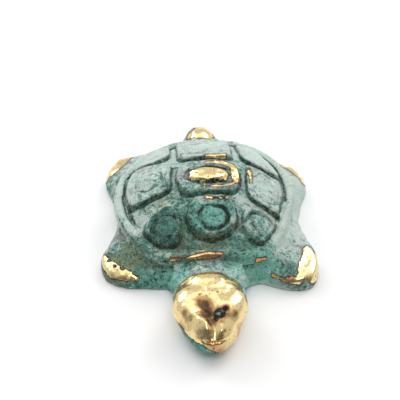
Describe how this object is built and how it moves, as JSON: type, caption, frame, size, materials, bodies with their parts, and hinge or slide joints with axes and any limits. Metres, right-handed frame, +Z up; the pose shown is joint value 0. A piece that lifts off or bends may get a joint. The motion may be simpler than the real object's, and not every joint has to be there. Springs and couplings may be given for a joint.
{
  "type": "turtle figurine",
  "caption": "Small cast-brass turtle desk ornament with a domed, scute-patterned shell, stretched-out head, splayed feet and tail, flat underneath, with rubbed high spots.",
  "frame": {"origin": "on the table under the middle of the shell, in the flat underside", "axes": "+Z up, the head points to -Y and the tail to +Y, +X is the turtle's own left side"},
  "size_m": [0.0527, 0.0823, 0.0159],
  "materials": {
    "patina": "matt grey-green verdigris over cast brass",
    "rubbed_brass": "cast brass rubbed bright on its high parts, verdigris in the hollows"
  },
  "bodies": {
    "root": {"carapace": "patina", "body": "patina", "plastron": "patina", "head": "rubbed_brass", "front_left_leg": "rubbed_brass", "front_right_leg": "rubbed_brass", "rear_left_leg": "rubbed_brass", "rear_right_leg": "rubbed_brass", "tail": "rubbed_brass"}
  },
  "joints": []
}
